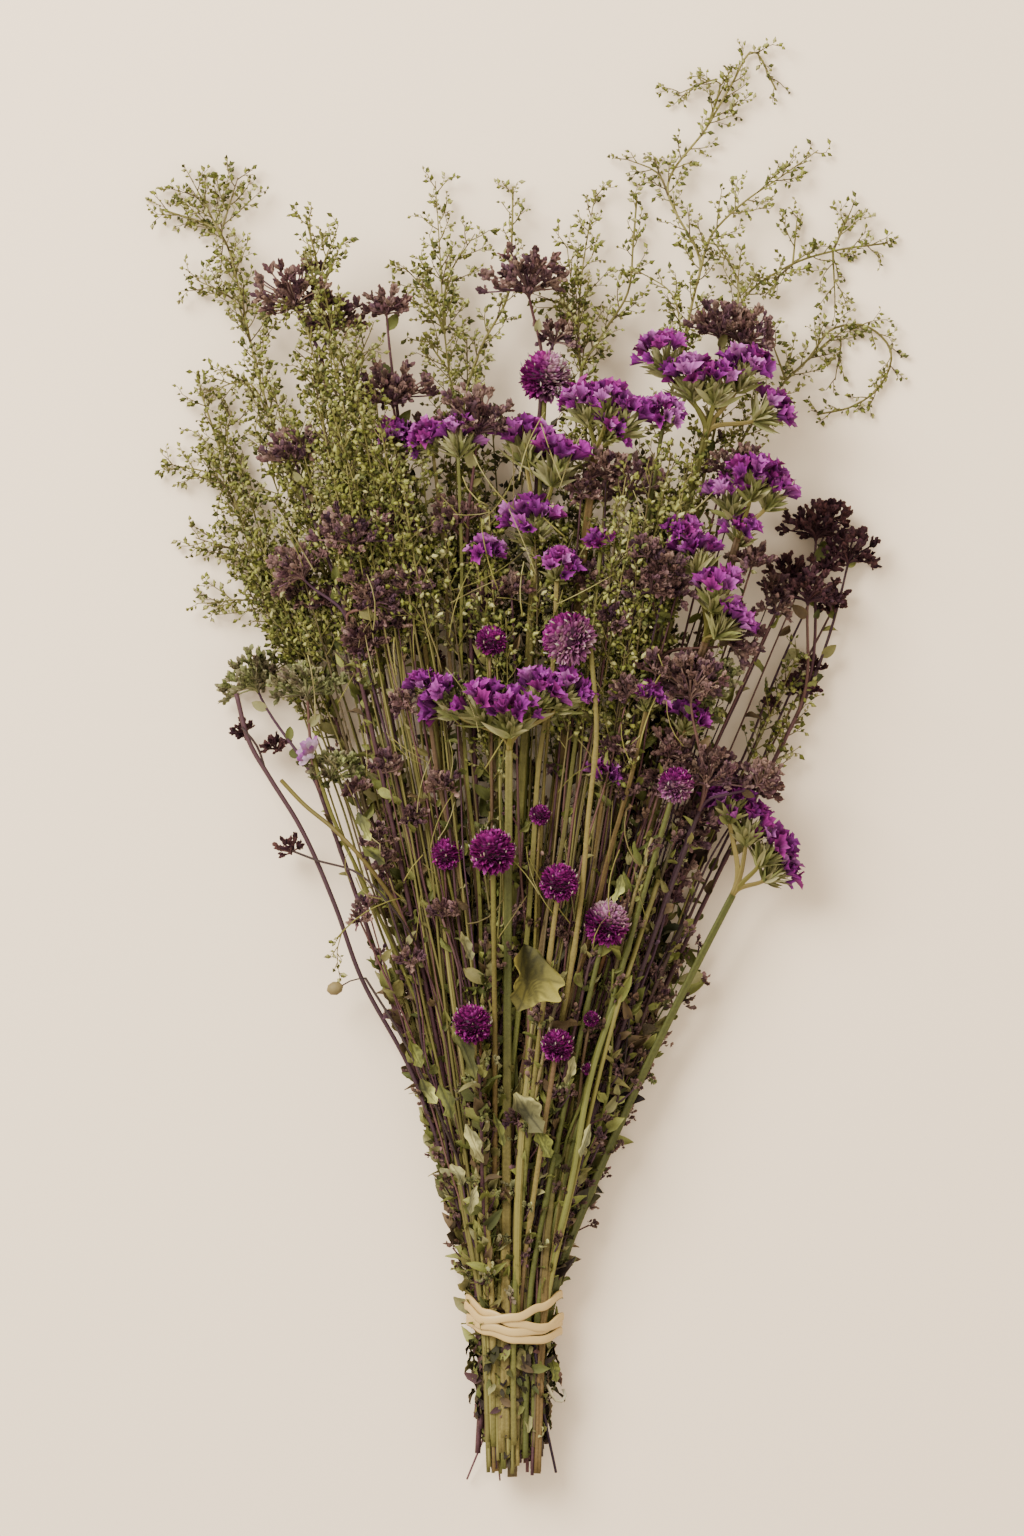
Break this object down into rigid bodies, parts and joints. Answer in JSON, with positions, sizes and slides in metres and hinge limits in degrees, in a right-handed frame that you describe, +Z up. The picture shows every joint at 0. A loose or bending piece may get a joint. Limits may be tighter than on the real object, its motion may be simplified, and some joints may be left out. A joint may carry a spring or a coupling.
{
  "type": "bunch of dried flowers",
  "caption": "Fan-shaped bunch of dried amaranth, statice, oregano and green sprays, its stalks bound near the cut ends by a rubber band; it lies flat.",
  "frame": {"origin": "under the middle of the bunch's overall box, on the surface it lies on", "axes": "+Y from the cut ends to the flower tips, +Z up off the surface, +X across the bunch to the right when seen from above with the tips away"},
  "size_m": [0.2612, 0.511, 0.07],
  "materials": {
    "statice_stalk": "dry, ridged, olive",
    "statice_flower": "papery, violet",
    "amaranth_stalk": "dry, straw to olive",
    "amaranth_flower": "dry bracts, magenta",
    "oregano_stalk": "dry, purple-brown",
    "oregano_flower": "dry bracts, brown-purple",
    "green_spray": "dry twigs with buds, yellow-green",
    "rubber_band": "natural rubber, satin",
    "leaf": "withered leaf, olive"
  },
  "bodies": {
    "root": {"statice_stalk_1": "statice_stalk", "statice_flower_cluster_1": "statice_flower", "statice_stalk_2": "statice_stalk", "statice_flower_cluster_2": "statice_flower", "statice_stalk_3": "statice_stalk", "statice_flower_cluster_3": "statice_flower", "statice_stalk_4": "statice_stalk", "statice_flower_cluster_4": "statice_flower", "statice_stalk_5": "statice_stalk", "statice_flower_cluster_5": "statice_flower", "statice_stalk_6": "statice_stalk", "statice_flower_cluster_6": "statice_flower", "statice_stalk_7": "statice_stalk", "statice_flower_cluster_7": "statice_flower", "amaranth_stalk_1": "amaranth_stalk", "amaranth_flower_head_1": "amaranth_flower", "amaranth_stalk_2": "amaranth_stalk", "amaranth_flower_head_2": "amaranth_flower", "amaranth_stalk_3": "amaranth_stalk", "amaranth_flower_head_3": "amaranth_flower", "amaranth_stalk_4": "amaranth_stalk", "amaranth_flower_head_4": "amaranth_flower", "amaranth_stalk_5": "amaranth_stalk", "amaranth_flower_head_5": "amaranth_flower", "amaranth_stalk_6": "amaranth_stalk", "amaranth_flower_head_6": "amaranth_flower", "amaranth_stalk_7": "amaranth_stalk", "amaranth_flower_head_7": "amaranth_flower", "amaranth_stalk_8": "amaranth_stalk", "amaranth_flower_head_8": "amaranth_flower", "oregano_stalk_1": "oregano_stalk", "oregano_flower_top_1": "oregano_flower", "oregano_stalk_2": "oregano_stalk", "oregano_flower_top_2": "oregano_flower", "oregano_stalk_3": "oregano_stalk", "oregano_flower_top_3": "oregano_flower", "oregano_stalk_4": "oregano_stalk", "oregano_flower_top_4": "oregano_flower", "oregano_stalk_5": "oregano_stalk", "oregano_flower_top_5": "oregano_flower", "oregano_stalk_6": "oregano_stalk", "oregano_flower_top_6": "oregano_flower", "oregano_stalk_7": "oregano_stalk", "oregano_flower_top_7": "oregano_flower", "oregano_stalk_8": "oregano_stalk", "oregano_flower_top_8": "oregano_flower", "oregano_stalk_9": "oregano_stalk", "oregano_flower_top_9": "oregano_flower", "oregano_stalk_10": "oregano_stalk", "oregano_flower_top_10": "oregano_flower", "green_spray_1": "green_spray", "green_spray_2": "green_spray", "green_spray_3": "green_spray", "green_spray_4": "green_spray", "green_spray_5": "green_spray", "green_spray_6": "green_spray", "green_spray_7": "green_spray", "green_spray_8": "green_spray", "rubber_band": "rubber_band", "large_leaf": "leaf"}
  },
  "joints": []
}
